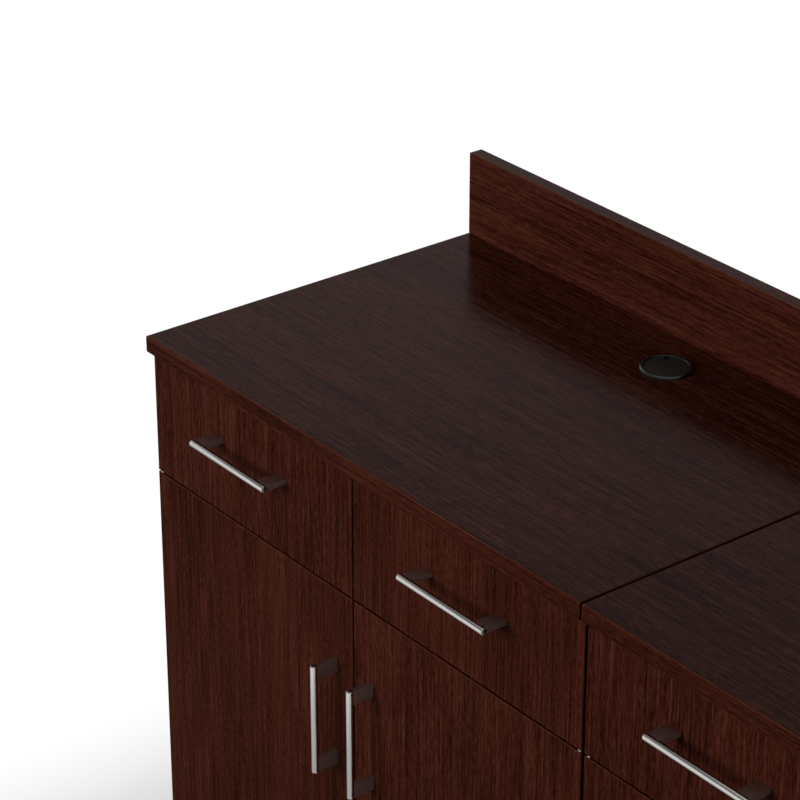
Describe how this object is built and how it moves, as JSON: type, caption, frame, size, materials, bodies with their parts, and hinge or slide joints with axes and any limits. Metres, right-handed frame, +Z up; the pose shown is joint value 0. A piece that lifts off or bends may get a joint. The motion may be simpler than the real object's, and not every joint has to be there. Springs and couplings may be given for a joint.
{
  "type": "coffee station cabinet",
  "caption": "Run of base cabinets for a coffee station with drawers over hinged doors, a wood-grain worktop, a backsplash, bar pulls and a cable grommet.",
  "frame": {"origin": "on the floor, under the middle of the bounding box with the pulls", "axes": "+X along the front to the right, +Y to the wall, +Z up"},
  "size_m": [1.8288, 0.6284, 1.0424],
  "materials": {
    "worktop_laminate": "semi-gloss wood-grain laminate",
    "front_laminate": "satin wood-grain laminate",
    "side_laminate": "satin wood-grain laminate",
    "carcase_laminate": "satin wood-grain laminate",
    "maple_melamine": "matt melamine",
    "hardboard": "matt",
    "kick_laminate": "matt laminate",
    "brushed_nickel": "satin",
    "zinc_plated_steel": "bright zinc",
    "black_abs": "fine texture",
    "bumper_rubber": "clear soft pad"
  },
  "bodies": {
    "cabinets": {"cabinet_bolts": "zinc_plated_steel", "carcase_rails": "carcase_laminate", "door_bumpers": "bumper_rubber", "drawer_dividers": "carcase_laminate", "grommet_liner": "black_abs", "hinge_brackets": "zinc_plated_steel", "left_backsplash": "worktop_laminate", "left_cabinet_back": "hardboard", "left_cabinet_floor": "carcase_laminate", "left_cabinet_left_side": "side_laminate", "left_cabinet_right_side": "side_laminate", "left_shelf": "carcase_laminate", "left_worktop": "worktop_laminate", "leveling_feet": "black_abs", "right_backsplash": "worktop_laminate", "right_cabinet_back": "hardboard", "right_cabinet_floor": "carcase_laminate", "right_cabinet_left_side": "side_laminate", "right_cabinet_right_side": "side_laminate", "right_shelf": "carcase_laminate", "right_worktop": "worktop_laminate", "shelf_pins": "zinc_plated_steel", "slide_channels": "zinc_plated_steel", "toe_kicks": "kick_laminate"},
    "drawer_1": {"drawer_1_front": "front_laminate", "drawer_1_box": "maple_melamine", "drawer_1_bottom": "maple_melamine", "drawer_1_pull": "brushed_nickel", "drawer_1_slide_rails": "zinc_plated_steel"},
    "door_1": {"door_1_panel": "front_laminate", "door_1_pull": "brushed_nickel", "door_1_hinge_pins": "zinc_plated_steel"},
    "drawer_2": {"drawer_2_front": "front_laminate", "drawer_2_box": "maple_melamine", "drawer_2_bottom": "maple_melamine", "drawer_2_pull": "brushed_nickel", "drawer_2_slide_rails": "zinc_plated_steel"},
    "door_2": {"door_2_panel": "front_laminate", "door_2_pull": "brushed_nickel", "door_2_hinge_pins": "zinc_plated_steel"},
    "drawer_3": {"drawer_3_front": "front_laminate", "drawer_3_box": "maple_melamine", "drawer_3_bottom": "maple_melamine", "drawer_3_pull": "brushed_nickel", "drawer_3_slide_rails": "zinc_plated_steel"},
    "door_3": {"door_3_panel": "front_laminate", "door_3_pull": "brushed_nickel", "door_3_hinge_pins": "zinc_plated_steel"},
    "drawer_4": {"drawer_4_front": "front_laminate", "drawer_4_box": "maple_melamine", "drawer_4_bottom": "maple_melamine", "drawer_4_pull": "brushed_nickel", "drawer_4_slide_rails": "zinc_plated_steel"},
    "door_4": {"door_4_panel": "front_laminate", "door_4_pull": "brushed_nickel", "door_4_hinge_pins": "zinc_plated_steel"},
    "grommet_cap": {"grommet_cap": "black_abs"}
  },
  "joints": [
    {"name": "drawer_1_slide", "type": "slide", "parent": "cabinets", "child": "drawer_1", "axis": [0, -1, 0], "range_m": [0, 0.375]},
    {"name": "door_1_swing", "type": "hinge", "parent": "cabinets", "child": "door_1", "pos_m": [-0.9069, -0.26875, 0.7004], "axis": [0, 0, -1], "range_deg": [0, 105]},
    {"name": "drawer_2_slide", "type": "slide", "parent": "cabinets", "child": "drawer_2", "axis": [0, -1, 0], "range_m": [0, 0.375]},
    {"name": "door_2_swing", "type": "hinge", "parent": "cabinets", "child": "door_2", "pos_m": [-0.0084, -0.26875, 0.7004], "axis": [0, 0, 1], "range_deg": [0, 83]},
    {"name": "drawer_3_slide", "type": "slide", "parent": "cabinets", "child": "drawer_3", "axis": [0, -1, 0], "range_m": [0, 0.375]},
    {"name": "door_3_swing", "type": "hinge", "parent": "cabinets", "child": "door_3", "pos_m": [0.0084, -0.26875, 0.7004], "axis": [0, 0, -1], "range_deg": [0, 83]},
    {"name": "drawer_4_slide", "type": "slide", "parent": "cabinets", "child": "drawer_4", "axis": [0, -1, 0], "range_m": [0, 0.375]},
    {"name": "door_4_swing", "type": "hinge", "parent": "cabinets", "child": "door_4", "pos_m": [0.9069, -0.26875, 0.7004], "axis": [0, 0, 1], "range_deg": [0, 105]},
    {"name": "grommet_cap_turn", "type": "hinge", "parent": "cabinets", "child": "grommet_cap", "pos_m": [-0.3959, 0.21425, 0.9144], "axis": [0, 0, 1], "continuous": true}
  ]
}
